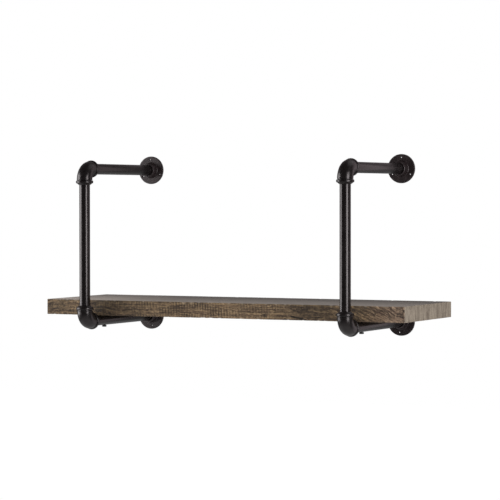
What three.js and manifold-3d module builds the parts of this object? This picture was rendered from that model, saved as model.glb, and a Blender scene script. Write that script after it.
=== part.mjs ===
// Wall shelf: one thick timber board carried by two brackets of pipe and pipe fittings.
// Millimetres, +Z up. +X runs along the board and +Y into the wall, so the shelf stands out towards -Y.
// The origin is on the wall, midway between the brackets and level with the axes of the lower pipes.
import * as THREE from 'three';
import { mergeVertices } from 'three/addons/utils/BufferGeometryUtils.js';
import Module from 'manifold-3d';

const wasm = await Module();
wasm.setup();

// Board
const boardLength = 914;
const boardDepth = 280;
const boardThickness = 36;
const boardChamfer = 1.2;

// Brackets: how far their pipe axes stand in from the board's ends, and how far apart they are in height
const bracketInset = 125.5;
const bracketHeight = 355;

// Pipe
const pipeDiameter = 25;
const pipeWall = 2;

// Elbow: a bend between two legs, each with a raised band and a tapered nose round its socket
const bendRadius = 25;
const bendDiameter = 36;
const legDiameter = 37.4;
const legNeck = 1.5;
const legRoot = 3;
const legRootInset = 1.5;
const bandDiameter = 40.6;
const bandWidth = 7;
const bandRound = 1.2;
const noseLength = 3.7;
const noseDiameter = 28.6;

// Wall flange: a round plate with a tapered hub that holds the end of a pipe
const flangeDiameter = 68;
const flangeThickness = 4.5;
const flangeChamfer = 1.5;
const hubLength = 20;
const hubRootDiameter = 36.4;
const hubNoseDiameter = 32;
const hubFillet = 2;
const hubNoseRound = 0.8;
const screwCircleDiameter = 52;
const screwHoleDiameter = 4;
const countersinkDiameter = 5.4;
const countersinkDepth = 0.7;
// Screwed on tight, each flange stops a little turned: degrees from having a hole straight up or down
const flangeTurns = { left_upper: 6, left_lower: 5, right_upper: 0, right_lower: -9 };

// Bolt that comes up through each lower pipe, and the threaded insert that it turns into
const boltFromFront = 52;
const boltDiameter = 6;
const boltHeadDiameter = 10.5;
const boltHeadHeight = 4.2;
const boltHeadChamfer = 0.8;
const boltSocketWidth = 5;
const boltSocketDepth = 2.4;
const boltTipSpare = 1.5;
const insertDiameter = 9;
const insertLength = 15;
const insertRecess = 0.5;

// Clearances between pieces that meet on the real shelf, and the overrun of every cut
const seatClearance = 0.3;
const boltClearance = 0.4;
const boardFrontClearance = 0.5;
const boardBackClearance = 0.5;
const hubReliefClearance = 0.6;
const insertHoleSpare = 1.5;
const cutOverrun = 1;

// How finely round shapes are divided
const roundSides = 24;
const smallSides = 12;
const hexagonSides = 6;
const bendSteps = 6;
const screwHoleCount = 3;

// Sizes and places that follow
const bracketSpacing = boardLength - 2 * bracketInset;
const pipeRadius = pipeDiameter / 2;
const boreRadius = pipeRadius - pipeWall;
const socketRadius = pipeRadius + seatClearance;
const legReach = bendRadius + legNeck + bandWidth + noseLength;
const boardBottom = pipeRadius + seatClearance;
const boardBack = -(flangeThickness + boardBackClearance);
const boardFront = boardBack - boardDepth;
const uprightY = boardFront - boardFrontClearance - legReach;
const elbowPipeStop = bendRadius + seatClearance;
const flangePipeStop = flangeThickness + seatClearance;
const boltY = boardFront + boltFromFront;

const materials = {
  timber: () => new THREE.MeshStandardMaterial({ color: 0x6b5a49, roughness: 0.75, metalness: 0 }),
  pipePaint: () => new THREE.MeshStandardMaterial({ color: 0x322d2d, roughness: 0.42, metalness: 0.5 }),
  fittingPaint: () => new THREE.MeshStandardMaterial({ color: 0x2a2525, roughness: 0.5, metalness: 0.5 }),
  boltBlack: () => new THREE.MeshStandardMaterial({ color: 0x121212, roughness: 0.5, metalness: 0.6 }),
  insertBrass: () => new THREE.MeshStandardMaterial({ color: 0xb08d4a, roughness: 0.35, metalness: 1 }),
};

// Geometry to solid and back: only positions are kept, shared vertices are merged
function toSolid(geometry) {
  geometry.deleteAttribute('normal');
  geometry.deleteAttribute('uv');
  const merged = mergeVertices(geometry);
  const corners = merged.index.array;
  const kept = [];
  for (let i = 0; i < corners.length; i += 3) {
    const [a, b, c] = [corners[i], corners[i + 1], corners[i + 2]];
    if (a !== b && b !== c && c !== a) {
      kept.push(a, b, c);
    }
  }
  const vertProperties = Float32Array.from(merged.attributes.position.array);
  const triVerts = Uint32Array.from(kept);
  return new wasm.Manifold(new wasm.Mesh({ numProp: 3, vertProperties, triVerts }));
}

function toGeometry(solid) {
  const mesh = solid.getMesh();
  const geometry = new THREE.BufferGeometry();
  geometry.setAttribute('position', new THREE.BufferAttribute(mesh.vertProperties, 3));
  geometry.setIndex(new THREE.BufferAttribute(mesh.triVerts, 1));
  geometry.computeVertexNormals();
  return geometry;
}

// A profile of [radius, height] points, turned about +Z; it runs up the outside
function turned(profile, sides = roundSides) {
  const points = profile.map(([radius, height]) => new THREE.Vector2(radius, height));
  return new THREE.LatheGeometry(points, sides).rotateX(Math.PI / 2);
}

// A rod about +Z from one height to another
function rod(radius, from, to, sides = roundSides) {
  return turned([[0, from], [radius, from], [radius, to], [0, to]], sides);
}

// A tube about +Z from one height to another
function tube(inner, outer, from, to, sides = roundSides) {
  return turned([[inner, from], [outer, from], [outer, to], [inner, to], [inner, from]], sides);
}

const pipe = (from, to) => tube(boreRadius, pipeRadius, from, to);

// Turns a shape made about +Z so that it runs along +Y, towards the wall
const towardsWall = (geometry) => geometry.rotateX(-Math.PI / 2);

// The bend's centre line: it comes up from below and leaves along +Y; its legs' axes cross at the origin
class QuarterBend extends THREE.Curve {
  constructor(radius) {
    super();
    this.radius = radius;
  }

  getPoint(t, target = new THREE.Vector3()) {
    const angle = t * Math.PI / 2;
    return target.set(0, this.radius * (1 - Math.cos(angle)), this.radius * (Math.sin(angle) - 1));
  }
}

function bentRod(radius, sides = roundSides) {
  const section = new THREE.Shape().absarc(0, 0, radius, 0, 2 * Math.PI);
  const extrudePath = new QuarterBend(bendRadius);
  return new THREE.ExtrudeGeometry(section, { extrudePath, steps: bendSteps, curveSegments: sides / 2 });
}

// One leg of the elbow about +Z, measured from the crossing of the two leg axes
function elbowLeg() {
  const root = bendRadius - legRoot;
  const bandStart = bendRadius + legNeck;
  const bandEnd = bandStart + bandWidth;
  const bandRadius = bandDiameter / 2;
  return turned([
    [0, root],
    [bendDiameter / 2 - legRootInset, root],
    [legDiameter / 2, bandStart],
    [bandRadius - bandRound, bandStart],
    [bandRadius, bandStart + bandRound],
    [bandRadius, bandEnd - bandRound],
    [bandRadius - bandRound, bandEnd],
    [noseDiameter / 2, legReach],
    [0, legReach],
  ]);
}

function elbowGeometry() {
  const socket = () => rod(socketRadius, bendRadius - cutOverrun, legReach + cutOverrun);
  const solid = toSolid(bentRod(bendDiameter / 2))
    .add(toSolid(elbowLeg().rotateX(Math.PI)))
    .add(toSolid(towardsWall(elbowLeg())))
    .subtract(toSolid(bentRod(boreRadius, smallSides)))
    .subtract(toSolid(socket().rotateX(Math.PI)))
    .subtract(toSolid(towardsWall(socket())));
  return toGeometry(solid);
}

// Wall flange about +Z with its back at zero; the first screw hole lies towards -Y
function flangeGeometry() {
  const plateRadius = flangeDiameter / 2;
  const hubRootRadius = hubRootDiameter / 2;
  const hubNoseRadius = hubNoseDiameter / 2;
  let solid = toSolid(turned([
    [boreRadius, 0],
    [plateRadius, 0],
    [plateRadius, flangeThickness - flangeChamfer],
    [plateRadius - flangeChamfer, flangeThickness],
    [hubRootRadius + hubFillet, flangeThickness],
    [hubRootRadius, flangeThickness + hubFillet],
    [hubNoseRadius, hubLength - hubNoseRound],
    [hubNoseRadius - hubNoseRound, hubLength],
    [socketRadius, hubLength],
    [socketRadius, flangeThickness],
    [boreRadius, flangeThickness],
    [boreRadius, 0],
  ]));
  for (let i = 0; i < screwHoleCount; i += 1) {
    const angle = 2 * Math.PI * i / screwHoleCount;
    const hole = turned([
      [0, -cutOverrun],
      [screwHoleDiameter / 2, -cutOverrun],
      [screwHoleDiameter / 2, flangeThickness - countersinkDepth],
      [countersinkDiameter / 2, flangeThickness],
      [countersinkDiameter / 2, flangeThickness + cutOverrun],
      [0, flangeThickness + cutOverrun],
    ], smallSides);
    hole.translate(0, -screwCircleDiameter / 2, 0).rotateZ(angle);
    solid = solid.subtract(toSolid(hole));
  }
  return toGeometry(solid);
}

// Board with a relief over each flange hub and a blind hole for each insert
function boardGeometry() {
  const boardTop = boardBottom + boardThickness;
  const section = new THREE.Shape();
  section.moveTo(boardFront + boardChamfer, boardBottom);
  section.lineTo(boardBack - boardChamfer, boardBottom);
  section.lineTo(boardBack, boardBottom + boardChamfer);
  section.lineTo(boardBack, boardTop - boardChamfer);
  section.lineTo(boardBack - boardChamfer, boardTop);
  section.lineTo(boardFront + boardChamfer, boardTop);
  section.lineTo(boardFront, boardTop - boardChamfer);
  section.lineTo(boardFront, boardBottom + boardChamfer);
  section.closePath();
  const blank = new THREE.ExtrudeGeometry(section, { depth: boardLength, bevelEnabled: false });
  blank.translate(0, 0, -boardLength / 2).rotateY(Math.PI / 2).rotateX(Math.PI / 2);
  let solid = toSolid(blank);
  const reliefRadius = hubRootDiameter / 2 + hubFillet + hubReliefClearance;
  const insertHoleRadius = insertDiameter / 2 + seatClearance;
  const insertHoleTop = boardBottom + insertRecess + insertLength + insertHoleSpare;
  for (const side of [-1, 1]) {
    const x = side * bracketSpacing / 2;
    const relief = towardsWall(rod(reliefRadius, -(hubLength + hubReliefClearance), cutOverrun));
    solid = solid.subtract(toSolid(relief.translate(x, 0, 0)));
    const insertHole = rod(insertHoleRadius, boardBottom - cutOverrun, insertHoleTop, smallSides);
    solid = solid.subtract(toSolid(insertHole.translate(x, boltY, 0)));
  }
  return toGeometry(solid);
}

// Lower pipe, drilled from below for its bolt
function lowerPipeGeometry(from, to) {
  const reach = pipeRadius + cutOverrun;
  const hole = rod(boltDiameter / 2 + boltClearance, -reach, reach, smallSides).translate(0, boltY, 0);
  return toGeometry(toSolid(towardsWall(pipe(from, to))).subtract(toSolid(hole)));
}

// Bolt about +Z with its head's seat at zero and a hexagon socket in the head
function boltGeometry() {
  const headRadius = boltHeadDiameter / 2;
  const tip = pipeRadius + seatClearance + boardBottom + insertRecess + insertLength - boltTipSpare;
  const body = turned([
    [0, -boltHeadHeight],
    [headRadius - boltHeadChamfer, -boltHeadHeight],
    [headRadius, boltHeadChamfer - boltHeadHeight],
    [headRadius, 0],
    [boltDiameter / 2, 0],
    [boltDiameter / 2, tip],
    [0, tip],
  ], smallSides);
  const socketTop = boltSocketDepth - boltHeadHeight;
  const socket = rod(boltSocketWidth / 2, -boltHeadHeight - cutOverrun, socketTop, hexagonSides);
  return toGeometry(toSolid(body).subtract(toSolid(socket)));
}

// Threaded insert about +Z with its lower end at zero, its thread shown as a plain bore
function insertGeometry() {
  return tube(boltDiameter / 2 + seatClearance, insertDiameter / 2, 0, insertLength, smallSides);
}

function piece(name, geometry, material, position, rotation = [0, 0, 0]) {
  const mesh = new THREE.Mesh(geometry, material());
  mesh.name = name;
  mesh.position.set(...position);
  mesh.rotation.set(...rotation);
  return mesh;
}

// Turns a flange to face away from the wall, with its first hole up or down and its own small turn
function flangeRotation(name, firstHole) {
  return [Math.PI / 2, 0, THREE.MathUtils.degToRad(firstHole + flangeTurns[name])];
}

// One bracket, in the plane through its pipe axes
function bracket(side) {
  const group = new THREE.Group();
  const nearEnd = uprightY + elbowPipeStop;
  const farEnd = -flangePipeStop;
  const upright = pipe(elbowPipeStop, bracketHeight - elbowPipeStop);
  const upperTurn = flangeRotation(`${side}_upper`, 180);
  const lowerTurn = flangeRotation(`${side}_lower`, 0);
  const lowerElbowTurn = [Math.PI / 2, 0, 0];
  const { pipePaint, fittingPaint, boltBlack, insertBrass } = materials;
  group.add(
    piece(`${side}_upper_flange`, flangeGeometry(), fittingPaint, [0, 0, bracketHeight], upperTurn),
    piece(`${side}_upper_pipe`, towardsWall(pipe(nearEnd, farEnd)), pipePaint, [0, 0, bracketHeight]),
    piece(`${side}_upper_elbow`, elbowGeometry(), fittingPaint, [0, uprightY, bracketHeight]),
    piece(`${side}_upright_pipe`, upright, pipePaint, [0, uprightY, 0]),
    piece(`${side}_lower_elbow`, elbowGeometry(), fittingPaint, [0, uprightY, 0], lowerElbowTurn),
    piece(`${side}_lower_pipe`, lowerPipeGeometry(nearEnd, farEnd), pipePaint, [0, 0, 0]),
    piece(`${side}_lower_flange`, flangeGeometry(), fittingPaint, [0, 0, 0], lowerTurn),
    piece(`${side}_shelf_bolt`, boltGeometry(), boltBlack, [0, boltY, -(pipeRadius + seatClearance)]),
    piece(`${side}_board_insert`, insertGeometry(), insertBrass, [0, boltY, boardBottom + insertRecess]),
  );
  return group;
}

const shelf = new THREE.Group();
shelf.add(piece('shelf_board', boardGeometry(), materials.timber, [0, 0, 0]));
for (const [name, side] of [['left', -1], ['right', 1]]) {
  const group = bracket(name);
  group.position.x = side * bracketSpacing / 2;
  shelf.add(group);
}

export default shelf;
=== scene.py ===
import random
from math import atan2, cos, exp, pi, radians, sin, sqrt

import bpy
from mathutils import Matrix, Vector, noise


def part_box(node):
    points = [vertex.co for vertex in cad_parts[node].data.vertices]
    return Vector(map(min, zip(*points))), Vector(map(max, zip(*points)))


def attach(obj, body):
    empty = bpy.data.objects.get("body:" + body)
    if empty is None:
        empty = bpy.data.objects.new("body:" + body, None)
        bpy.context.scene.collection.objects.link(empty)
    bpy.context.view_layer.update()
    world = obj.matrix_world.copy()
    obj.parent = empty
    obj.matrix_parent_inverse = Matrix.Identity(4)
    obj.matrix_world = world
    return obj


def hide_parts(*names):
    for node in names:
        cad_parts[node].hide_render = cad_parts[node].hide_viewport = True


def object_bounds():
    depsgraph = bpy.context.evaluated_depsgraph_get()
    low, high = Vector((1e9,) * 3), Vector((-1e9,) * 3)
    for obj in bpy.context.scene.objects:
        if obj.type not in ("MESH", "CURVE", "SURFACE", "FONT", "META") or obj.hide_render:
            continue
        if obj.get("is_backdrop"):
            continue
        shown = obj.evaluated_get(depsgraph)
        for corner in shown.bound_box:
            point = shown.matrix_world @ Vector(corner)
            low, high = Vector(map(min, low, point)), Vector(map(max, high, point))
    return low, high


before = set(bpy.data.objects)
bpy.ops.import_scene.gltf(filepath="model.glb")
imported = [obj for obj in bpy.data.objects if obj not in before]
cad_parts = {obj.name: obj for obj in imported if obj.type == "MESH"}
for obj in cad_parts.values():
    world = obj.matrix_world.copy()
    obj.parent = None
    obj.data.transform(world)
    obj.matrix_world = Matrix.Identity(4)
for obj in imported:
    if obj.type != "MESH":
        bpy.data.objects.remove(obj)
cad_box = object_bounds()


# Camera
# A long lens on a stand in front of the shelf and to its right, a little above the board's height.
# It looks slightly down, so the board's top shows as a thin sliver.
camera_place = Vector((2.36756, -4.89918, 0.29068))
camera_turn = radians(26.379)
camera_tilt = radians(-1.347)
camera_roll = radians(-0.047)
camera_lens = 163.95


def new_object(name, data):
    """A new object in the scene."""
    made = bpy.data.objects.new(name, data)
    bpy.context.scene.collection.objects.link(made)
    return made


camera_data = bpy.data.cameras.new("camera")
camera_data.lens = camera_lens
camera_data.sensor_width = 36
camera_data.clip_end = 100
camera = new_object("camera", camera_data)
camera.matrix_world = (
    Matrix.Translation(camera_place)
    @ Matrix.Rotation(camera_turn, 4, "Z")
    @ Matrix.Rotation(pi / 2 + camera_tilt, 4, "X")
    @ Matrix.Rotation(camera_roll, 4, "Z")
)
bpy.context.scene.camera = camera
bpy.context.scene.view_settings.view_transform = "Standard"


# Studio
# A white sweep behind the shelf, a pale floor far below it, four cloth-fronted lamps, and a small dim
# card near the left bracket. The room is dark on the camera's side, as a studio is, so that the paint
# stays black there.
floor_height = -1.6
floor_reach = 14
pool_inside = 2.0
pool_outside = 4.5
pool_grey = 0.4
pool_glow_loss = 0.36
far_glow = 1.01
backdrop_direction = Vector((-0.447, 0.894, 0))
sweep_edge = 0.15
sweep_seen_in_gloss = 0.22
room_seen_in_gloss = 0.05
ambient_horizon = -0.3
ambient_below = 0.22
ambient_above = 1.1
rosy = (1, 0.87, 0.90)
white = (1, 1, 1)


def add_node(tree, kind, inputs=None, **settings):
    """Adds a node. Inputs give each socket a value or another node's output; settings are its properties."""
    made = tree.nodes.new(kind)
    for name, value in settings.items():
        setattr(made, name, value)
    for name, value in (inputs or {}).items():
        if isinstance(value, bpy.types.NodeSocket):
            tree.links.new(value, made.inputs[name])
        else:
            made.inputs[name].default_value = value
    return made


def calculated(tree, operation, first, second=0.0, third=0.0):
    """One step of arithmetic."""
    step = add_node(tree, "ShaderNodeMath", {0: first, 1: second, 2: third}, operation=operation)
    return step.outputs[0]


def times(tree, first, second, added=0.0):
    """The product of two numbers, with a third one added."""
    return calculated(tree, "MULTIPLY_ADD", first, second, added)


def vector_step(tree, operation, first, second=(0.0, 0.0, 0.0)):
    """One step of vector arithmetic. It gives a vector, or a number where it measures."""
    step = add_node(tree, "ShaderNodeVectorMath", {0: first, 1: second}, operation=operation)
    return step.outputs["Value" if operation in ("LENGTH", "DOT_PRODUCT") else "Vector"]


def ramped(tree, value, low, high, start=0.0, end=1.0, ease="SMOOTHSTEP"):
    """A value taken from one range into another, and held at its ends."""
    ranges = {"Value": value, "From Min": low, "From Max": high, "To Min": start, "To Max": end}
    return add_node(tree, "ShaderNodeMapRange", ranges, interpolation_type=ease).outputs[0]


def between(tree, share, low, high):
    """A number that goes from one value to another."""
    return add_node(tree, "ShaderNodeMix", {0: share, 2: low, 3: high}, data_type="FLOAT").outputs[0]


def blended(tree, share, low, high, blend="MIX"):
    """A colour that goes from one to another, or one laid over another."""
    return add_node(tree, "ShaderNodeMix", {0: share, 6: low, 7: high}, data_type="RGBA",
                    blend_type=blend).outputs[2]


def seen_in_gloss(tree, direction):
    """How bright the studio is in the paint's gloss: the sweep on one side, the dark room on the other."""
    facing = vector_step(tree, "DOT_PRODUCT", direction, backdrop_direction)
    return ramped(tree, facing, sweep_edge, 1.0, room_seen_in_gloss, sweep_seen_in_gloss)


world = bpy.data.worlds.new("studio")
bpy.context.scene.world = world
world.use_nodes = True
sky = world.node_tree
sky.nodes.clear()
ray = add_node(sky, "ShaderNodeLightPath").outputs
direction = add_node(sky, "ShaderNodeTexCoord").outputs["Generated"]
height = add_node(sky, "ShaderNodeSeparateXYZ", {0: direction}).outputs["Z"]
ambient = ramped(sky, height, ambient_horizon, 1.0, ambient_below, ambient_above, "LINEAR")
in_gloss = between(sky, ray["Is Glossy Ray"], ambient, seen_in_gloss(sky, direction))
straight = calculated(sky, "MAXIMUM", ray["Is Camera Ray"], ray["Is Transmission Ray"])
strength = between(sky, straight, in_gloss, 1.0)
sky_colour = blended(sky, ray["Is Glossy Ray"], (*white, 1), (*rosy, 1))
background = add_node(sky, "ShaderNodeBackground", {"Color": sky_colour, "Strength": strength})
add_node(sky, "ShaderNodeOutputWorld", {"Surface": background.outputs[0]})


def new_mesh(name, vertices, faces):
    """A mesh made of these points and faces."""
    mesh = bpy.data.meshes.new(name)
    mesh.from_pydata(vertices, [], faces)
    return mesh


def new_material(name, values):
    """A material, with its node tree and its shader, which takes these values."""
    material = bpy.data.materials.new(name)
    material.use_nodes = True
    shader = material.node_tree.nodes["Principled BSDF"]
    for socket, value in values.items():
        shader.inputs[socket].default_value = value
    return material, material.node_tree, shader


square = ((-1, -1), (1, -1), (1, 1), (-1, 1))
floor_corners = [(x * floor_reach, y * floor_reach, floor_height) for x, y in square]
floor_mesh = new_mesh("floor", floor_corners, [(0, 1, 2, 3)])
floor = new_object("floor", floor_mesh)
# Matt white paint: grey and lit by the lamps in a pool under the shelf, as white as the sweep further out
floor_paint, tree, _ = new_material("matt_white_floor_paint", {})
tree.nodes.clear()
ray = add_node(tree, "ShaderNodeLightPath").outputs
shown = calculated(tree, "MAXIMUM", ray["Is Camera Ray"], ray["Is Glossy Ray"])
shown = calculated(tree, "MAXIMUM", shown, ray["Is Transmission Ray"])
place = add_node(tree, "ShaderNodeTexCoord").outputs["Object"]
in_pool = ramped(tree, vector_step(tree, "LENGTH", place), pool_inside, pool_outside, 1.0, 0.0)
own = blended(tree, in_pool, (0, 0, 0, 1), (pool_grey, pool_grey, pool_grey, 1))
own_glow = times(tree, in_pool, -pool_glow_loss, far_glow)
# In the paint's gloss the floor is as dim as the room above it
gloss_glow = seen_in_gloss(tree, vector_step(tree, "NORMALIZE", place))
level = between(tree, ray["Is Glossy Ray"], own_glow, gloss_glow)
lit = add_node(tree, "ShaderNodeBsdfDiffuse", {"Color": (0.8, 0.8, 0.8, 1)})
dim = add_node(tree, "ShaderNodeBsdfDiffuse", {"Color": own})
glow = add_node(tree, "ShaderNodeEmission", {"Color": (*white, 1), "Strength": level})
pale = add_node(tree, "ShaderNodeAddShader", {0: dim.outputs[0], 1: glow.outputs[0]})
mixed = add_node(tree, "ShaderNodeMixShader", {0: shown, 1: lit.outputs[0], 2: pale.outputs[0]})
add_node(tree, "ShaderNodeOutputMaterial", {"Surface": mixed.outputs[0]})
floor_mesh.materials.append(floor_paint)
floor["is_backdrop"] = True

lamp_target = Vector((0, -0.17, 0.16))
# Each lamp's place, width and height, power, and colour
lamps = {
    "left_softbox": (Vector((-2.30, -1.00, 0.25)), (1.70, 1.9), 50, white),
    "left_card": (Vector((-1.10, -1.02, 0.20)), (0.32, 1.2), 2.0, white),
    "right_softbox": (Vector((2.28, -1.25, 0.30)), (1.05, 2.0), 50, white),
    "rear_softbox": (Vector((1.75, 1.9, 0.3)), (1.4, 5.0), 14, rosy),
    "top_softbox": (Vector((0.9, 0.6, 2.2)), (1.8, 1.4), 4, white),
}
for name, (place, size, power, colour) in lamps.items():
    lamp = bpy.data.lights.new(name, "AREA")
    lamp.shape = "RECTANGLE"
    lamp.size, lamp.size_y = size
    lamp.energy = power
    lamp.color = colour
    holder = new_object(name, lamp)
    aim = (lamp_target - place).to_track_quat("-Z", "Y")
    holder.matrix_world = Matrix.Translation(place) @ aim.to_matrix().to_4x4()
    holder.visible_camera = False


# Shelf board
# One thick plank of weathered oak, sawn across and left rough, then waxed: bands from the saw, curly grain
# near the ends, cracks, and paler end grain. It rests on the lower pipes and is bolted to them.
board_low, board_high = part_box("shelf_board")
board_edge_round = 0.0010
board_station = 0.0011
board_row = 0.0030
board_column = 0.0140
saw_pitch = 0.0070
saw_depth = 0.00016
saw_lean = 0.06
saw_wobble = 1.1
saw_middle = -0.07
saw_spread = 0.20
wave_depth = 0.00025
dent_seed = 7
dent_count = 75
dent_depth = 0.0009
dent_reach = (0.002, 0.007)
dent_cell = 0.02
corner_wear = 0.4
end_edge_wear = 0.35
wood_relief = 0.0003
relief_radius = 0.0208
relief_reach = 0.0206
insert_hole_radius = 0.0048
insert_hole_spare = 0.0015
cutter_spare = 0.002


def linear(colour):
    """A colour written as sRGB hex, as the linear RGBA that shaders take."""
    parts = [int(colour[i:i + 2], 16) / 255 for i in (0, 2, 4)]
    return tuple(c / 12.92 if c <= 0.04045 else ((c + 0.055) / 1.055) ** 2.4 for c in parts) + (1,)


def new_piece(name, vertices, faces):
    """A new object made of these points and faces."""
    return new_object(name, new_mesh(name, vertices, faces))


def smooth(piece, angle=40):
    """Smooth faces, kept crisp where they meet at more than this angle, in degrees."""
    piece.data.polygons.foreach_set("use_smooth", [True] * len(piece.data.polygons))
    piece.data.set_sharp_from_angle(angle=radians(angle))
    piece.data.update()


def spaced(start, end, step):
    """Numbers from start to end, both included, about a step apart."""
    count = max(1, round(abs(end - start) / step))
    return [start + (end - start) * i / count for i in range(count + 1)]


def board_section():
    """The board's outline across its length, as points with their outward normals: (y, z, ny, nz)."""
    r = board_edge_round
    y0, y1, z0, z1 = board_low.y, board_high.y, board_low.z, board_high.z
    outline = []
    sides = (
        [(y, z0) for y in spaced(y0 + r, y1 - r, board_column)],
        [(y1, z) for z in spaced(z0 + r, z1 - r, board_row)],
        [(y, z1) for y in spaced(y1 - r, y0 + r, board_column)],
        [(y0, z) for z in spaced(z1 - r, z0 + r, board_row)],
    )
    normals = ((0, -1), (1, 0), (0, 1), (-1, 0))
    centres = ((y1 - r, z0 + r), (y1 - r, z1 - r), (y0 + r, z1 - r), (y0 + r, z0 + r))
    for side, (ny, nz), (cy, cz) in zip(sides, normals, centres):
        outline += [(y, z, ny, nz) for y, z in side]
        start = atan2(nz, ny)
        for k in (1, 2, 3):
            a = start + pi / 2 * k / 4
            outline.append((cy + r * cos(a), cz + r * sin(a), cos(a), sin(a)))
    return outline


def board_stations():
    """Places along the board with how far the section draws in there and how far it faces the end."""
    r = board_edge_round
    x0, x1 = board_low.x, board_high.x
    turn = [pi / 2 * k / 4 for k in (4, 3, 2, 1)]
    left = [(x0 + r * (1 - sin(a)), r * (1 - cos(a)), -sin(a)) for a in turn]
    right = [(x1 - r * (1 - sin(a)), r * (1 - cos(a)), sin(a)) for a in reversed(turn)]
    return left + [(x, 0, 0) for x in spaced(x0 + r, x1 - r, board_station)] + right


def scattered_dents():
    """Knocks along the long edges, most at the front, in cells along the board: (centre, reach, depth)."""
    draw = random.Random(dent_seed)
    edges = [(y, z) for y in (board_low.y,) * 4 + (board_high.y,) for z in (board_low.z, board_high.z)]
    dents = {}
    for _ in range(dent_count):
        y, z = draw.choice(edges)
        x = draw.uniform(board_low.x, board_high.x)
        dent = (Vector((x, y, z)), draw.uniform(*dent_reach), draw.uniform(0.3, 1) * dent_depth)
        for cell in range(int((x - dent_cell / 2) // dent_cell), int((x + dent_cell / 2) // dent_cell) + 1):
            dents.setdefault(cell, []).append(dent)
    return dents


def board_wear(point, dents):
    """How deep the rough-sawn face lies under its highest places, how sawn and how worn it is there."""
    x, y, z = point
    wobble = noise.noise(Vector((x * 9, y * 14, z * 14)))
    phase = (x + saw_lean * z) / saw_pitch + saw_wobble * wobble
    band = 0.5 + 0.5 * sin(2 * pi * phase)
    most = exp(-((x - saw_middle) / saw_spread) ** 2)
    patch = 0.55 + 1.3 * noise.noise(Vector((x * 22, y * 60, z * 60 + 5)))
    strong = (0.25 + 0.75 * most) * min(1.0, max(0.0, patch))
    wave = 0.5 + 0.5 * noise.noise(Vector((x * 12, y * 40, z * 40 + 11)))
    depth = saw_depth * band * strong + wave_depth * wave
    worn = 0.0
    for centre, reach, deep in dents.get(int(x // dent_cell), ()):
        share = 1 - (Vector(point) - centre).length / reach
        if share > 0:
            depth += deep * share * share * (3 - 2 * share)
            worn = max(worn, share)
    return depth, band * strong, worn


def ring_faces(vertices, sides, closed=False):
    """Faces from each ring of points to the next, and where closed, from the last ring to the first."""
    count = len(vertices) // sides
    faces = []
    for i in range(count if closed else count - 1):
        for j in range(sides):
            k, m = (j + 1) % sides, (i + 1) % count
            faces.append((i * sides + j, i * sides + k, m * sides + k, m * sides + j))
    return faces


def make_board():
    """The plank as rings of points along its length, closed by its two ends."""
    dents = scattered_dents()
    section = board_section()
    n = len(section)
    vertices = []
    marks = {"sawn": [], "worn": [], "end_face": [], "top_face": []}

    def add_point(point, *shares):
        vertices.append(point)
        for values, share in zip(marks.values(), shares):
            values.append(share)

    for x, inset, end in board_stations():
        facing = sqrt(1 - end * end)
        for y, z, ny, nz in section:
            point = Vector((x, y - ny * inset, z - nz * inset))
            depth, sawn, worn = board_wear(point, dents)
            corner = min(1.0, 4 * abs(ny * nz)) * facing
            worn += corner_wear * corner + (end_edge_wear if 0 < abs(end) < 1 else 0)
            add_point(point - depth * Vector((end, ny * facing, nz * facing)),
                      sawn, min(1.0, worn), end * end, max(0.0, nz) * facing)
    last_station = len(vertices) - n
    faces = ring_faces(vertices, n)
    # Each end is closed by rings that shrink by the same width all round, towards the middle of the face
    middle = (board_low + board_high) / 2
    narrow = (board_high.z - board_low.z) / (board_high.y - board_low.y)
    for end, face_x, first in ((-1, board_low.x, 0), (1, board_high.x, last_station)):
        ring = list(range(first, first + n))
        for share in (0.9, 0.75, 0.5, 0.2):
            fresh = list(range(len(vertices), len(vertices) + n))
            for y, z, _, _ in section:
                ring_y = middle.y + (y - middle.y) * (1 - (1 - share) * narrow)
                point = Vector((face_x, ring_y, middle.z + (z - middle.z) * share))
                point.x -= end * board_wear(point, dents)[0]
                add_point(point, 0.0, 0.0, 1.0, 0.0)
            for j in range(n):
                k = (j + 1) % n
                quad = (ring[j], ring[k], fresh[k], fresh[j])
                faces.append(quad[::-1] if end < 0 else quad)
            ring = fresh
        faces.append(tuple(ring[::-1]) if end < 0 else tuple(ring))
    piece = new_piece("shelf_board_timber", vertices, faces)
    for name, values in marks.items():
        piece.data.attributes.new(name, "FLOAT", "POINT").data.foreach_set("value", values)
    return piece


def rod_object(name, radius, start, end, sides=64):
    """A closed round rod from one point to another."""
    along = (end - start).normalized()
    across = along.orthogonal().normalized()
    upwards = along.cross(across)
    vertices = []
    for place in (start, end):
        for j in range(sides):
            a = 2 * pi * j / sides
            vertices.append(place + radius * (cos(a) * across + sin(a) * upwards))
    faces = [tuple(range(sides))[::-1], tuple(range(sides, 2 * sides))]
    return new_piece(name, vertices, faces + ring_faces(vertices, sides))


def cut(piece, cutters):
    """Takes closed objects out of a piece, and removes them from the scene."""
    for cutter in cutters:
        modifier = piece.modifiers.new("cut", "BOOLEAN")
        modifier.operation = "DIFFERENCE"
        modifier.solver = "EXACT"
        modifier.object = cutter
    ready = piece.evaluated_get(bpy.context.evaluated_depsgraph_get())
    mesh = bpy.data.meshes.new_from_object(ready)
    piece.modifiers.clear()
    piece.data = mesh
    for cutter in cutters:
        bpy.data.objects.remove(cutter)


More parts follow.
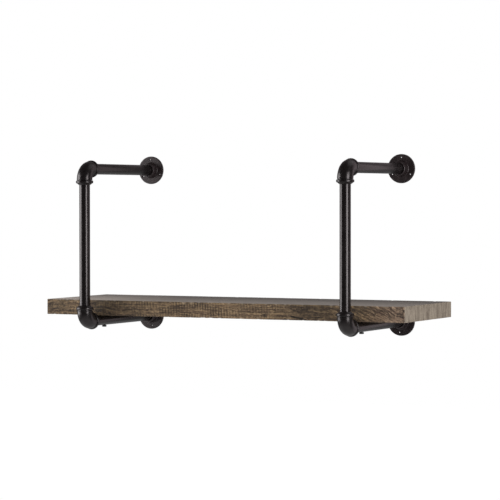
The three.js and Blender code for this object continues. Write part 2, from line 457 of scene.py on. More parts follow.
board = make_board()
cutters = []
for side in ("left", "right"):
    pipe_low, pipe_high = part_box(f"{side}_lower_pipe")
    x = (pipe_low.x + pipe_high.x) / 2
    wall_end = Vector((x, cutter_spare, 0))
    cutters.append(rod_object("relief", relief_radius, Vector((x, -relief_reach, 0)), wall_end))
    insert_low, insert_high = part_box(f"{side}_board_insert")
    y = (insert_low.y + insert_high.y) / 2
    mouth = Vector((x, y, board_low.z - cutter_spare))
    bottom = Vector((x, y, insert_high.z + insert_hole_spare))
    cutters.append(rod_object("insert_hole", insert_hole_radius, mouth, bottom))
cut(board, cutters)
smooth(board)

# Weathered oak, brushed with a thin grey-brown wax: the grain runs all through the wood, so long streaks
# turn into curls near the ends, and sawn, worn, top and end faces differ as the mesh's attributes say
timber, tree, shader = new_material("weathered_oak_waxed", {"Specular IOR Level": 0.32})


def read_attribute(tree, name):
    """A number that the mesh holds at its points."""
    return add_node(tree, "ShaderNodeAttribute", attribute_name=name).outputs["Fac"]


def distance_from(tree, value, centre):
    """How far a number is from another one."""
    return calculated(tree, "ABSOLUTE", calculated(tree, "SUBTRACT", value, centre))


def joined(tree, x=0.0, y=0.0, z=0.0):
    """A vector or a colour from its three parts."""
    return add_node(tree, "ShaderNodeCombineXYZ", {"X": x, "Y": y, "Z": z}).outputs[0]


def stretched_noise(tree, vector, scale, detail, roughness=0.55):
    """Noise whose grains have their own size along each axis, given as grains to the metre."""
    return add_node(tree, "ShaderNodeTexNoise",
                    {"Vector": vector_step(tree, "MULTIPLY", vector, scale), "Scale": 1.0, "Detail": detail,
                     "Roughness": roughness}).outputs["Fac"]


def bumped(tree, height, depth, over=None):
    """The normal of a surface with this relief, in metres, laid over another relief where there is one."""
    inputs = {"Height": height, "Distance": depth, "Strength": 1.0}
    if over is not None:
        inputs["Normal"] = over
    return add_node(tree, "ShaderNodeBump", inputs).outputs[0]


place = add_node(tree, "ShaderNodeTexCoord").outputs["Object"]
along, across, upward = add_node(tree, "ShaderNodeSeparateXYZ", {0: place}).outputs
from_middle = calculated(tree, "ABSOLUTE", along)
curl = ramped(tree, from_middle, 0.18, 0.45, 0.25, 1.0)
slant = ramped(tree, along, 0.26, 0.50, 0.0, 0.075)
drift = stretched_noise(tree, place, (9.0, 16.0, 16.0), 2.0)
swirl = times(tree, times(tree, drift, 0.060, -0.030), curl)
bent_y = times(tree, swirl, 0.6, across)
bent_z = calculated(tree, "ADD", calculated(tree, "ADD", upward, slant), swirl)
bent = joined(tree, along, bent_y, bent_z)

# Growth rings round a heart that lies under the board, uneven in width
heart = (0.0, -0.12, -0.14)
ring_width = 0.0065
from_heart = vector_step(tree, "MULTIPLY", vector_step(tree, "SUBTRACT", bent, heart), (0.0, 1.0, 1.0))
distance = vector_step(tree, "LENGTH", from_heart)
uneven = times(tree, stretched_noise(tree, bent, (5.0, 60.0, 60.0), 2.0), 9.0)
ring_phase = times(tree, distance, 2 * pi / ring_width, uneven)
rings = times(tree, calculated(tree, "SINE", ring_phase), 0.5, 0.5)

# Long streaks, fibres, short flecks and the dark checks between fibres
streaks = stretched_noise(tree, bent, (13.0, 210.0, 210.0), 5.0, 0.72)
fibres = stretched_noise(tree, bent, (90.0, 1300.0, 1300.0), 3.0, 0.65)
flecks = stretched_noise(tree, bent, (120.0, 430.0, 430.0), 2.0, 0.6)
checks = stretched_noise(tree, bent, (30.0, 420.0, 420.0), 4.0, 0.7)
mottle = stretched_noise(tree, bent, (120.0, 170.0, 170.0), 3.0, 0.65)
wood = blended(tree, ramped(tree, streaks, 0.34, 0.66), linear("35271e"), linear("756049"))
# Each layer's pattern, where it sets in and is full, how much of it shows there, and its colour
layers = (
    (rings, 0.35, 1.0, 0.35, "33241b"),
    (flecks, 0.53, 0.68, 0.45, "8f7a62"),
    (checks, 0.57, 0.66, 0.80, "21160f"),
)
for pattern, low, high, most, colour in layers:
    wood = blended(tree, ramped(tree, pattern, low, high, 0.0, most), wood, linear(colour))

# Thin broken cracks, mostly from the middle to the right end, where a stretched noise passes its mean
crack_field = stretched_noise(tree, bent, (42.0, 190.0, 190.0), 3.0, 0.6)
crack_line = ramped(tree, distance_from(tree, crack_field, 0.5), 0.008, 0.045, 1.0, 0.0)
crack_where = ramped(tree, stretched_noise(tree, place, (40.0, 70.0, 70.0), 2.0), 0.47, 0.60)
crack_share = times(tree, crack_line, crack_where)
crack_share = times(tree, crack_share, ramped(tree, along, -0.06, 0.12, 0.25, 0.85))
wood = blended(tree, crack_share, wood, linear("1a120d"))
# One deeper check a hand's breadth from the right bracket, just above the bottom edge
check_place = 0.198
check_slope = 0.20
check_level = 0.0607
check_rise = times(tree, along, check_slope, upward)
check_rise = times(tree, crack_field, 0.005, check_rise)
check_line = ramped(tree, distance_from(tree, check_rise, check_level), 0.0009, 0.0024, 0.95, 0.0)
check_where = ramped(tree, distance_from(tree, along, check_place), 0.014, 0.024, 1.0, 0.0)
check_share = times(tree, check_line, check_where)
wood = blended(tree, check_share, wood, linear("140d09"))

# Light and shade in the wood: fibres, saw marks, and a mottle that is stronger near the ends
saw_shade = times(tree, read_attribute(tree, "sawn"), -0.85, 1.08)
shade = times(tree, ramped(tree, fibres, 0.25, 0.75, 0.72, 1.28), saw_shade)
mottle_share = ramped(tree, from_middle, 0.12, 0.46, 0.55, 1.40)
mottle_swing = times(tree, ramped(tree, mottle, 0.28, 0.72, -0.42, 0.42), mottle_share)
shade = times(tree, shade, calculated(tree, "ADD", mottle_swing, 1.0))
# Darker stretches of heartwood at the left end, and beside both brackets darker stretches that are partly
# heartwood and partly painted shadow of the uprights and elbows; a paler middle and right end: the middle of
# each, how far it reaches, and how much darker it is
tone_and_shadow_stretches = (
    (-0.450, 0.090, 0.18), (-0.310, 0.045, 0.32), (-0.270, 0.110, 0.38), (0.030, 0.190, -0.26),
    (0.235, 0.110, 0.36), (0.345, 0.045, 0.26), (0.425, 0.070, -0.30),
)
for middle, reach, darker in tone_and_shadow_stretches:
    darkened = ramped(tree, distance_from(tree, along, middle), 0.0, reach, 1.0 - darker, 1.0)
    shade = times(tree, shade, darkened)
# The right end has greyed more than the rest
greyed = ramped(tree, along, 0.34, 0.44)
shade_green = times(tree, shade, times(tree, greyed, 0.04, 1.0))
shade_blue = times(tree, shade, times(tree, greyed, 0.29, 0.91))
wood = blended(tree, 1.0, wood, joined(tree, shade, shade_green, shade_blue), "MULTIPLY")
worn_share = times(tree, read_attribute(tree, "worn"), 0.35)
wood = blended(tree, worn_share, wood, linear("a4947f"))

# The planed top, greyer and evener, paler towards the front edge, and with painted light: paler towards the
# left end, where the left lamp falls on it
top_wood_and_painted_light = blended(tree, ramped(tree, streaks, 0.25, 0.75), linear("5d5651"), linear("756e68"))
top_wood_and_painted_light = blended(tree, ramped(tree, checks, 0.62, 0.72, 0.0, 0.4), top_wood_and_painted_light, linear("453c39"))
top_wood_and_painted_light = blended(tree, 1.0, top_wood_and_painted_light, ramped(tree, across, -0.300, 0.010, 1.36, 0.60), "MULTIPLY")
top_wood_and_painted_light = blended(tree, 1.0, top_wood_and_painted_light, ramped(tree, along, -0.42, -0.14, 1.55, 1.0), "MULTIPLY")
wood = blended(tree, ramped(tree, read_attribute(tree, "top_face"), 0.5, 1.0), wood, top_wood_and_painted_light)

# The cut ends, paler, with streaks from the saw that run up and down
end_streaks = stretched_noise(tree, place, (20.0, 95.0, 22.0), 5.0, 0.72)
end_specks = stretched_noise(tree, place, (20.0, 420.0, 180.0), 3.0, 0.7)
end_wood = blended(tree, ramped(tree, end_streaks, 0.32, 0.68), linear("594f44"), linear("7f7568"))
end_wood = blended(tree, ramped(tree, end_specks, 0.50, 0.72, 0.0, 0.45), end_wood, linear("4f463c"))
wood = blended(tree, ramped(tree, read_attribute(tree, "end_face"), 0.3, 1.0), wood, end_wood)
tree.links.new(wood, shader.inputs["Base Color"])

# Wax lies in a thin, patchy film: a dull sheen, duller where the wood is rough
tree.links.new(ramped(tree, flecks, 0.3, 0.7, 0.66, 0.82), shader.inputs["Roughness"])
relief = times(tree, fibres, 0.5, times(tree, streaks, 0.8))
relief = calculated(tree, "SUBTRACT", relief, ramped(tree, checks, 0.58, 0.70, 0.0, 0.9))
tree.links.new(bumped(tree, relief, wood_relief), shader.inputs["Normal"])
board.data.materials.clear()
board.data.materials.append(timber)
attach(board, "root")
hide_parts("shelf_board")


# Pipes
# Six lengths of steel pipe, cut and reamed, then sprayed satin bronze-black before assembly.
# The two lower ones are drilled through from below for the bolts that hold the board.
pipe_wall = 0.002
pipe_sides = 96
pipe_lip = 0.0004
bolt_hole_radius = 0.0034


def geometry_tree(name, numbers, others):
    """A geometry tree with its inputs and its output node. A blank has to be its first input."""
    tree = bpy.data.node_groups.new(name, "GeometryNodeTree")
    for socket, kind in {**others, **dict.fromkeys(numbers, "Float")}.items():
        tree.interface.new_socket(socket, in_out="INPUT", socket_type="NodeSocket" + kind)
    tree.interface.new_socket("Geometry", in_out="OUTPUT", socket_type="NodeSocketGeometry")
    return tree, tree.nodes.new("NodeGroupInput").outputs, tree.nodes.new("NodeGroupOutput")


def finish_tree(tree, geometry, finish, group_out):
    """Ends a geometry tree: its instances made real, and its material set."""
    real = add_node(tree, "GeometryNodeRealizeInstances", {"Geometry": geometry})
    done = add_node(tree, "GeometryNodeSetMaterial", {"Geometry": real.outputs[0], "Material": finish})
    tree.links.new(done.outputs[0], group_out.inputs[0])


def cylinder(tree, sides, radius, length):
    """An upright cylinder about the origin."""
    return add_node(tree, "GeometryNodeMeshCylinder",
                    {"Vertices": sides, "Radius": radius, "Depth": length}).outputs[0]


def moved(tree, geometry, place, turn=(0.0, 0.0, 0.0)):
    """Geometry turned about the origin and then set in its place."""
    return add_node(tree, "GeometryNodeTransform",
                    {"Geometry": geometry, "Translation": place, "Rotation": turn}).outputs[0]


def carved(tree, body, tool):
    """A body with a tool's shape taken out of it."""
    return add_node(tree, "GeometryNodeMeshBoolean", {"Mesh 1": body, "Mesh 2": tool},
                    operation="DIFFERENCE", solver="EXACT").outputs[0]


def grown(name, tree, values, blank=None):
    """A plain mesh grown by a geometry tree with these input values, from nothing or from a blank."""
    start = new_object(name + "_start", blank or bpy.data.meshes.new(name + "_start"))
    modifier = start.modifiers.new("grow", "NODES")
    modifier.node_group = tree
    for item in tree.interface.items_tree:
        if item.in_out == "INPUT" and item.name in values:
            modifier[item.identifier] = values[item.name]
    start.update_tag()
    ready = start.evaluated_get(bpy.context.evaluated_depsgraph_get())
    mesh = bpy.data.meshes.new_from_object(ready)
    bpy.data.objects.remove(start)
    mesh.name = name
    return new_object(name, mesh)


def steel_pipe_tree():
    """A reamed pipe about its own centre, turned, placed, and drilled across where that is asked for."""
    tree, given, group_out = geometry_tree(
        "steel_pipe", ("Outer Radius", "Wall", "Length", "Lip", "Hole Radius"),
        {"Sides": "Int", "Turn": "Rotation", "Place": "Vector", "Drilled": "Bool", "Hole Place": "Vector",
         "Paint": "Material"})
    middle = times(tree, given["Wall"], -0.5, given["Outer Radius"])
    round_path = add_node(tree, "GeometryNodeCurvePrimitiveCircle",
                          {"Resolution": given["Sides"], "Radius": middle})
    wall_outline = add_node(tree, "GeometryNodeCurvePrimitiveQuadrilateral",
                            {"Width": given["Wall"], "Height": given["Length"]})
    reamed = add_node(tree, "GeometryNodeFilletCurve",
                      {"Curve": wall_outline.outputs[0], "Count": 3, "Radius": given["Lip"]}, mode="POLY")
    rolled = add_node(tree, "GeometryNodeCurveToMesh",
                      {"Curve": round_path.outputs[0], "Profile Curve": reamed.outputs[0]})
    placed = moved(tree, rolled.outputs[0], given["Place"], given["Turn"])
    drill_length = times(tree, given["Outer Radius"], 3)
    drill = moved(tree, cylinder(tree, 32, given["Hole Radius"], drill_length), given["Hole Place"])
    chosen = add_node(tree, "GeometryNodeSwitch",
                      {"Switch": given["Drilled"], "False": placed, "True": carved(tree, placed, drill)},
                      input_type="GEOMETRY")
    finish_tree(tree, chosen.outputs[0], given["Paint"], group_out)
    return tree


def paint(name, colour, roughness, grain, grain_depth, lump, lump_depth):
    """Sprayed paint on metal: a thin skin that shows the grain and the lumps under it, all in metres."""
    material, tree, shader = new_material(
        name, {"Metallic": 0, "IOR": 1.5, "Specular Tint": linear("fff6f7")})
    place = add_node(tree, "ShaderNodeTexCoord").outputs["Object"]
    fine = add_node(tree, "ShaderNodeTexNoise",
                    {"Vector": place, "Scale": 1 / grain, "Detail": 3, "Roughness": 0.6}).outputs["Fac"]
    coarse = add_node(tree, "ShaderNodeTexNoise",
                      {"Vector": place, "Scale": 1 / lump, "Detail": 2}).outputs["Fac"]
    shade = ramped(tree, coarse, 0.3, 0.7, 0.75, 1.3, "LINEAR")
    tree.links.new(blended(tree, 1.0, linear(colour), shade, "MULTIPLY"), shader.inputs["Base Color"])
    gloss = ramped(tree, coarse, 0.3, 0.7, roughness - 0.015, roughness + 0.02, "LINEAR")
    tree.links.new(gloss, shader.inputs["Roughness"])
    lumps = bumped(tree, coarse, lump_depth)
    tree.links.new(bumped(tree, fine, grain_depth, lumps), shader.inputs["Normal"])
    return material


pipe_tree = steel_pipe_tree()
# Satin spray paint on smooth drawn steel: nearly black, with soft clear highlights and a faint orange peel
pipe_paint = paint("satin_bronze_black_spray_paint", "0e0b0b", roughness=0.25,
                   grain=0.0012, grain_depth=0.000001, lump=0.025, lump_depth=0.000006)
for side in ("left", "right"):
    bolt_low, bolt_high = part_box(f"{side}_shelf_bolt")
    for place in ("upper_pipe", "upright_pipe", "lower_pipe"):
        low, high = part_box(f"{side}_{place}")
        upright = place == "upright_pipe"
        pipe = grown(f"{side}_{place}_tube", pipe_tree, {
            "Outer Radius": (high.x - low.x) / 2, "Wall": pipe_wall, "Lip": pipe_lip, "Sides": pipe_sides,
            "Length": (high.z - low.z) if upright else (high.y - low.y), "Place": tuple((low + high) / 2),
            "Turn": (0.0 if upright else pi / 2, 0.0, 0.0), "Drilled": place == "lower_pipe",
            "Hole Radius": bolt_hole_radius,
            "Hole Place": ((bolt_low.x + bolt_high.x) / 2, (bolt_low.y + bolt_high.y) / 2, 0.0),
            "Paint": pipe_paint})
        smooth(pipe, 35)
        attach(pipe, "root")
        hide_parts(f"{side}_{place}")


# Elbows
# Four malleable iron castings, one at each corner of the two brackets, tapped for the pipe at both mouths.
# Each mouth has a rounded bead behind a shallow groove and a nose that tapers down to the pipe.
bend_radius = 0.025
bend_section = 0.0180
bend_swell = 0.35
leg_section = 0.0186
groove_section = 0.0171
groove_place = 0.0258
bead_start = 0.0267
bead_end = 0.0338
bead_section = 0.0202
bead_fullness = 2.5
nose_root = 0.0176
nose_section = 0.0143
nose_reach = 0.0372
nose_round = 0.0009
socket_section = 0.0128
socket_lip = 0.0006
socket_stop = 0.0253
bore_section = 0.0105
elbow_sides = 88
elbow_bend_steps = 26
cast_unevenness = 0.00004
cast_waves = 160
cast_grains = 420
machined = 0.001
box_clearance = 0.0001


def elbow_leg():
    """One mouth's outside, from the bend out to the nose: (distance from the corner, section radius)."""
    foot = (leg_section + groove_section) / 2
    points = [
        (bend_radius, bend_section + bend_swell * (leg_section - bend_section)),
        ((bend_radius + groove_place) / 2, leg_section),
        (groove_place - 0.0012, leg_section),
        (groove_place - 0.0005, foot),
        (groove_place, groove_section),
    ]
    centre, half = (bead_start + bead_end) / 2, (bead_end - bead_start) / 2
    for k in range(13):
        u = cos(pi * (1 - k / 12))
        full = (1 - abs(u) ** bead_fullness) ** (1 / bead_fullness)
        base = groove_section + (nose_root - groove_section) * (k / 12)
        points.append((centre + half * u, base + (bead_section - base) * full))
    for share in (0.3, 0.6, 0.85):
        taper = nose_root + (nose_section + nose_round / 2 - nose_root) * share ** 0.9
        points.append((bead_end + (nose_reach - nose_round - bead_end) * share, taper))
    for k in range(4):
        a = pi / 2 * k / 3
        inset, drop = nose_round * (1 - sin(a)), nose_round * (1 - cos(a))
        points.append((nose_reach - inset, nose_section - drop))
    return points


def elbow_rings():
    """Rings along the casting, outside first and then back through the bore: (centre, direction, radius)."""
    def on_leg(distance, leg):
        if leg == 1:
            return Vector((0, 0, -distance)), Vector((0, 0, 1))
        return Vector((0, distance, 0)), Vector((0, 1, 0))

    def on_bend(share):
        a = share * pi / 2
        centre = Vector((0, bend_radius * (1 - cos(a)), bend_radius * (sin(a) - 1)))
        return centre, Vector((0, sin(a), cos(a)))

    leg = elbow_leg()
    rings = [(*on_leg(s, 1), r) for s, r in reversed(leg)]
    for k in range(1, elbow_bend_steps):
        share = k / elbow_bend_steps
        swell = (1 - sin(pi * share)) ** 2 * bend_swell
        rings.append((*on_bend(share), bend_section + swell * (leg_section - bend_section)))
    rings += [(*on_leg(s, 2), r) for s, r in leg]
    mouth = [(nose_reach, socket_section + socket_lip), (nose_reach - socket_lip, socket_section),
             (socket_stop, socket_section), (socket_stop, bore_section)]
    rings += [(*on_leg(s, 2), r) for s, r in mouth]
    rings += [(*on_bend(1 - k / 8), bore_section) for k in range(9)]
    rings += [(*on_leg(s, 1), r) for s, r in reversed(mouth)]
    return rings


def make_elbow(name, corner, upper):
    """The casting about its corner, where the axes of its two legs cross."""
    turn = Matrix.Identity(3) if upper else Matrix.Rotation(pi / 2, 3, "X")
    across = Vector((1, 0, 0))
    vertices = []
    for centre, along, radius in elbow_rings():
        upwards = along.cross(across)
        for j in range(elbow_sides):
            a = 2 * pi * j / elbow_sides
            outward = cos(a) * across + sin(a) * upwards
            point = centre + radius * outward
            if radius > socket_section + machined:
                spot = point + corner
                uneven = noise.noise(spot * cast_waves) + 0.5 * noise.noise(spot * cast_grains)
                point -= outward * cast_unevenness * (0.5 + 0.5 * uneven)
            vertices.append(turn @ point + corner)
    return new_piece(name, vertices, ring_faces(vertices, elbow_sides, closed=True))


# Satin paint over a fine sand-cast skin: duller than the pipes, with broad uneven highlights
fitting_paint = paint("satin_bronze_black_on_cast_iron", "0d0a0a", roughness=0.29,
                      grain=0.0016, grain_depth=0.000005, lump=0.007, lump_depth=0.000012)
for side in ("left", "right"):
    for level in ("upper", "lower"):
        low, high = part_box(f"{side}_{level}_elbow")
        upper = level == "upper"
        outside = bead_section + box_clearance
        height = high.z - outside if upper else low.z + outside
        corner = Vector(((low.x + high.x) / 2, low.y + outside, height))
        elbow = make_elbow(f"{side}_{level}_elbow_casting", corner, upper)
        smooth(elbow, 50)
        elbow.data.materials.append(fitting_paint)
        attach(elbow, "root")
        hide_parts(f"{side}_{level}_elbow")


# Wall flanges
# Four cast iron wall plates with a tapered hub that takes the end of a pipe. Each is turned on its thread
# as far as it went when tight, so its three countersunk screw holes stand a little askew.
plate_thickness = 0.0045
plate_rim = 0.0013
back_edge = 0.0004
hub_root = 0.0182
hub_nose = 0.0160
hub_reach = 0.0200
hub_fillet = 0.0022
hub_round = 0.0022
hub_lip = 0.0007
screw_circle = 0.0260
screw_holes = 3
screw_hole = 0.0015
countersink = 0.0027
countersink_depth = 0.0006
flange_turns = {"left_upper": 96, "left_lower": -85, "right_upper": 90, "right_lower": -99}
flange_sides = 120
plate_unevenness = 0.003
plate_waves = 150
plate_step = 0.0015
hole_sides = 40


def flange_outline(plate_radius):
    """Half of the flange's section, as a loop of (radius, height): up the outside and down the bore."""
    r, t = plate_radius, plate_thickness
    outline = [(bore_section, 0), ((bore_section + r) / 2, 0), (r - back_edge, 0), (r, back_edge)]
    outline.append((r, t - plate_rim))
    for k in range(1, 7):
        a = pi / 2 * k / 6
        outline.append((r - plate_rim * (1 - cos(a)), t - plate_rim * (1 - sin(a))))
    foot = hub_root + hub_fillet
    outline += [(radius, t) for radius in spaced(r - plate_rim - plate_step, foot + 0.0006, plate_step)]
    for k in range(8):
        a = pi / 2 * k / 7
        outline.append((foot - hub_fillet * sin(a), t + hub_fillet * (1 - cos(a))))
    start, end = t + hub_fillet, hub_reach - hub_round
    for share in (0.2, 0.4, 0.6, 0.8, 0.95):
        outline.append((hub_root + (hub_nose - hub_root) * share, start + (end - start) * share))
    for k in range(6):
        a = pi / 2 * k / 5
        outline.append((hub_nose - hub_round * (1 - cos(a)), end + hub_round * sin(a)))
    outline += [(socket_section + hub_lip, hub_reach), (socket_section, hub_reach - hub_lip)]
    return outline + [(socket_section, t), (bore_section, t)]


def flange_blank(name, plate_radius, seed):
    """The casting before it is drilled, about +Z with its back at zero."""
    outline = flange_outline(plate_radius)
    vertices, faces = [], []
    n = len(outline)
    for j in range(flange_sides):
        a = 2 * pi * j / flange_sides
        for radius, height in outline:
            point = Vector((radius * cos(a), radius * sin(a), height))
            if height > machined and radius > socket_section + machined:
                uneven = noise.noise((point + Vector((seed, 0, 0))) * plate_waves)
                shrunk = 1 - plate_unevenness * (1 + uneven) / 2
                lowered = point.z - cast_unevenness * (1 + uneven)
                point = Vector((point.x * shrunk, point.y * shrunk, lowered))
            vertices.append(point)
    for j in range(flange_sides):
        k = (j + 1) % flange_sides
        for i in range(n):
            m = (i + 1) % n
            faces.append((j * n + i, k * n + i, k * n + m, j * n + m))
    return new_mesh(name + "_blank", vertices, faces)


def united(tree, first, second):
    """Two bodies as one."""
    union = add_node(tree, "GeometryNodeMeshBoolean", {"Mesh 2": first}, operation="UNION", solver="EXACT")
    tree.links.new(second, union.inputs["Mesh 2"])
    return union.outputs[0]


def drilled_flange_tree():
    """A flange's casting with its countersunk screw holes, stood up against the wall."""
    tree, given, group_out = geometry_tree(
        "drilled_flange", ("Circle Radius", "Hole Radius", "Sink Radius", "Sink Depth", "Plate", "Turn"),
        {"Blank": "Geometry", "Holes": "Int", "Place": "Vector", "Paint": "Material"})
    hole_ring = add_node(tree, "GeometryNodeMeshCircle",
                         {"Vertices": given["Holes"], "Radius": given["Circle Radius"]})
    hole_points = moved(tree, hole_ring.outputs[0], (0.0, 0.0, 0.0), joined(tree, z=given["Turn"]))
    bit = cylinder(tree, hole_sides, given["Hole Radius"], times(tree, given["Plate"], 4.0))
    # The countersink's cone goes on above and below by its own depth, so that it cuts face and hole cleanly
    spread = calculated(tree, "SUBTRACT", given["Sink Radius"], given["Hole Radius"])
    sink = add_node(tree, "GeometryNodeMeshCone",
                    {"Vertices": hole_sides,
                     "Radius Top": calculated(tree, "ADD", given["Sink Radius"], spread),
                     "Radius Bottom": calculated(tree, "SUBTRACT", given["Hole Radius"], spread),
                     "Depth": times(tree, given["Sink Depth"], 3.0)})
    sink_foot = times(tree, given["Sink Depth"], -2.0, given["Plate"])
    sink_placed = moved(tree, sink.outputs[0], joined(tree, z=sink_foot), (0.0, 0.0, pi / hole_sides))
    bits = add_node(tree, "GeometryNodeInstanceOnPoints",
                    {"Points": hole_points, "Instance": united(tree, bit, sink_placed)})
    real_bits = add_node(tree, "GeometryNodeRealizeInstances", {"Geometry": bits.outputs[0]})
    drilled = carved(tree, given["Blank"], real_bits.outputs[0])
    placed = moved(tree, drilled, given["Place"], (pi / 2, 0.0, 0.0))
    finish_tree(tree, placed, given["Paint"], group_out)
    return tree


flange_tree = drilled_flange_tree()
# The same satin paint on the flanges, sprayed flat and a little drier: their faces take a broad, soft sheen.
# Its colour is set paler than the pipes' paint, as painted light on the plates
flange_paint = paint("satin_bronze_black_on_cast_flange", "1b1415", roughness=0.38,
                     grain=0.0016, grain_depth=0.000005, lump=0.009, lump_depth=0.000010)
for index, (flange_name, turn) in enumerate(flange_turns.items()):
    low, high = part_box(f"{flange_name}_flange")
    radius = min(high.x - low.x, high.z - low.z) / 2 - 0.00005
    pipe_low, pipe_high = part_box(f"{flange_name}_pipe")
    place = ((pipe_low.x + pipe_high.x) / 2, 0.0, (pipe_low.z + pipe_high.z) / 2)
    blank = flange_blank(flange_name, radius, index)
    flange = grown(f"{flange_name}_flange_casting", flange_tree, {
        "Circle Radius": screw_circle, "Holes": screw_holes, "Hole Radius": screw_hole,
        "Sink Radius": countersink, "Sink Depth": countersink_depth, "Plate": plate_thickness,
        "Turn": radians(turn), "Place": place, "Paint": flange_paint}, blank)
    smooth(flange, 40)
    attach(flange, "root")
    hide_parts(f"{flange_name}_flange")


# Bolts and inserts
# Two socket-head bolts of black oxide steel come up through the lower pipes into the board. Each turns into
# a turned brass insert with a coarse outer thread, which is screwed into a blind hole in the timber.
bolt_radius = 0.0030
bolt_pitch = 0.0010
bolt_thread = 0.0005
bolt_head_height = 0.0042
bolt_dome = 0.0007
bolt_socket = 0.0050
bolt_socket_depth = 0.0024
bolt_in_head = 0.4
bolt_rim_power = 6.0
bolt_underside = -0.0015
bolt_sides = 48
rod_sides = 40
rings_a_turn = 6.0
insert_pitch = 0.0025
insert_thread = 0.0009
insert_bore = 0.0033
thread_sizes = ("Radius", "Pitch", "Thread Depth", "Length")


def threaded_rod_tree():
    """A rod about the origin with a V thread, six rings of faces to each turn."""
    tree, given, group_out = geometry_tree("threaded_rod", thread_sizes, {})
    turns_long = calculated(tree, "DIVIDE", given["Length"], given["Pitch"])
    blank = add_node(tree, "GeometryNodeMeshCylinder",
                     {"Vertices": rod_sides, "Side Segments": times(tree, turns_long, rings_a_turn),
                      "Radius": given["Radius"], "Depth": given["Length"]})
    place = add_node(tree, "GeometryNodeInputPosition").outputs[0]
    x, y, z = add_node(tree, "ShaderNodeSeparateXYZ", {0: place}).outputs
    turns = calculated(tree, "DIVIDE", calculated(tree, "ARCTAN2", y, x), 2 * pi)
    rise = calculated(tree, "DIVIDE", z, given["Pitch"])
    wave = calculated(tree, "PINGPONG", calculated(tree, "SUBTRACT", rise, turns), 0.5)
    inward = times(tree, times(tree, wave, given["Thread Depth"]), -2.0)
    outward = vector_step(tree, "NORMALIZE", vector_step(tree, "MULTIPLY", place, (1.0, 1.0, 0.0)))
    offset = add_node(tree, "ShaderNodeVectorMath", {0: outward, "Scale": inward}, operation="SCALE")
    threaded = add_node(tree, "GeometryNodeSetPosition",
                        {"Geometry": blank.outputs[0], "Offset": offset.outputs[0]})
    tree.links.new(threaded.outputs[0], group_out.inputs[0])
    return tree


def threaded_rod(tree, rod_tree, given):
    """The threaded rod with the sizes that another tree was given."""
    sizes = {name: given[name] for name in thread_sizes}
    return add_node(tree, "GeometryNodeGroup", sizes, node_tree=rod_tree).outputs[0]


def bolt_tree(rod_tree):
    """A bolt whose head hangs from the origin with a rounded rim, and whose shank stands up from it."""
    head_sizes = ("Head Radius", "Head Height", "Dome", "Socket Radius", "Socket Depth")
    tree, given, group_out = geometry_tree(
        "socket_head_bolt", thread_sizes + head_sizes, {"Place": "Vector", "Finish": "Material"})
    sunk = times(tree, given["Head Height"], -bolt_in_head)
    shank_middle = joined(tree, z=times(tree, given["Length"], 0.5, sunk))
    shank = moved(tree, threaded_rod(tree, rod_tree, given), shank_middle)
    head = add_node(tree, "GeometryNodeMeshCylinder",
                    {"Vertices": bolt_sides, "Side Segments": 4, "Fill Segments": 10,
                     "Radius": given["Head Radius"], "Depth": given["Head Height"]},
                    fill_type="TRIANGLE_FAN")
    place = add_node(tree, "GeometryNodeInputPosition").outputs[0]
    off_axis = vector_step(tree, "LENGTH", vector_step(tree, "MULTIPLY", place, (1.0, 1.0, 0.0)))
    share = calculated(tree, "DIVIDE", off_axis, given["Head Radius"])
    near_rim = calculated(tree, "POWER", share, bolt_rim_power)
    height = add_node(tree, "ShaderNodeSeparateXYZ", {0: place}).outputs["Z"]
    underneath = calculated(tree, "LESS_THAN", height, bolt_underside)
    lift = times(tree, times(tree, near_rim, given["Dome"]), underneath)
    domed = add_node(tree, "GeometryNodeSetPosition",
                     {"Geometry": head.outputs[0], "Offset": joined(tree, z=lift)})
    half_down = times(tree, given["Head Height"], -0.5)
    whole = united(tree, shank, moved(tree, domed.outputs[0], joined(tree, z=half_down)))
    key = cylinder(tree, 6, given["Socket Radius"], times(tree, given["Socket Depth"], 2.0))
    key_down = times(tree, given["Head Height"], -1.0)
    socketed = carved(tree, whole, moved(tree, key, joined(tree, z=key_down)))
    finish_tree(tree, moved(tree, socketed, given["Place"]), given["Finish"], group_out)
    return tree


def insert_tree(rod_tree):
    """A threaded sleeve about its own centre, open at both ends."""
    tree, given, group_out = geometry_tree(
        "threaded_insert", (*thread_sizes, "Bore"), {"Place": "Vector", "Finish": "Material"})
    bore = cylinder(tree, rod_sides, given["Bore"], times(tree, given["Length"], 1.2))
    bored = carved(tree, threaded_rod(tree, rod_tree, given), bore)
    finish_tree(tree, moved(tree, bored, given["Place"]), given["Finish"], group_out)
    return tree


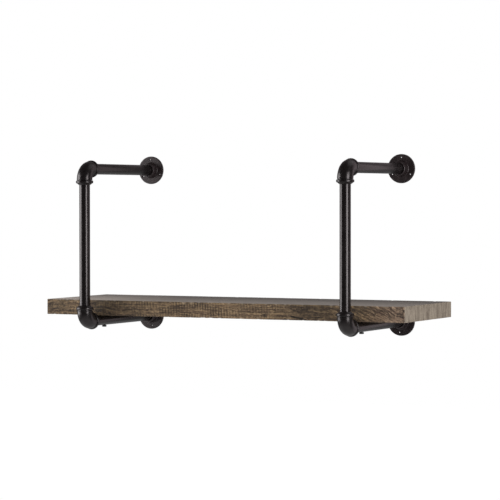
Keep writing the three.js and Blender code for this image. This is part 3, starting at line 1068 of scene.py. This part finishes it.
def turned_metal(name, colour, metallic, roughness, mark_depth):
    """Metal off the lathe: fine turning marks round the part's axis, and a slightly uneven tone."""
    material, tree, shader = new_material(name, {"Metallic": metallic})
    place = add_node(tree, "ShaderNodeTexCoord").outputs["Object"]
    marks = stretched_noise(tree, place, (60.0, 60.0, 9000.0), 2.0)
    tone = stretched_noise(tree, place, (420.0, 420.0, 420.0), 2.0)
    shade = ramped(tree, tone, 0.3, 0.7, 0.8, 1.15)
    tree.links.new(blended(tree, 1.0, linear(colour), shade, "MULTIPLY"), shader.inputs["Base Color"])
    gloss = ramped(tree, tone, 0.3, 0.7, roughness - 0.05, roughness + 0.08)
    tree.links.new(gloss, shader.inputs["Roughness"])
    tree.links.new(bumped(tree, marks, mark_depth), shader.inputs["Normal"])
    return material


rod_tree = threaded_rod_tree()
socket_head_tree = bolt_tree(rod_tree)
sleeve_tree = insert_tree(rod_tree)
# Black oxide on steel: a thin dark skin, faintly oiled, with a dull sheen
black_oxide = turned_metal("black_oxide_steel", "0b0b0c", metallic=0.1, roughness=0.5, mark_depth=0.000004)
# Plain turned brass, a little dulled
plain_brass = turned_metal("turned_brass", "c9a35a", metallic=1.0, roughness=0.30, mark_depth=0.000005)
for side in ("left", "right"):
    low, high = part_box(f"{side}_shelf_bolt")
    seat = low.z + bolt_head_height
    bolt = grown(f"{side}_socket_head_bolt", socket_head_tree, {
        "Radius": bolt_radius, "Pitch": bolt_pitch, "Thread Depth": bolt_thread,
        "Length": high.z - seat + bolt_in_head * bolt_head_height, "Head Radius": (high.x - low.x) / 2,
        "Head Height": bolt_head_height, "Dome": bolt_dome, "Socket Radius": bolt_socket / 2,
        "Socket Depth": bolt_socket_depth, "Place": ((low.x + high.x) / 2, (low.y + high.y) / 2, seat),
        "Finish": black_oxide})
    smooth(bolt, 35)
    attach(bolt, "root")
    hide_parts(f"{side}_shelf_bolt")
    low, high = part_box(f"{side}_board_insert")
    insert = grown(f"{side}_threaded_insert", sleeve_tree, {
        "Radius": (high.x - low.x) / 2, "Pitch": insert_pitch, "Thread Depth": insert_thread,
        "Length": high.z - low.z, "Bore": insert_bore, "Place": tuple((low + high) / 2),
        "Finish": plain_brass})
    smooth(insert, 35)
    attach(insert, "root")
    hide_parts(f"{side}_board_insert")


size = {"cad": [list(c) for c in cad_box], "visual": [list(c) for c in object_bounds()]}
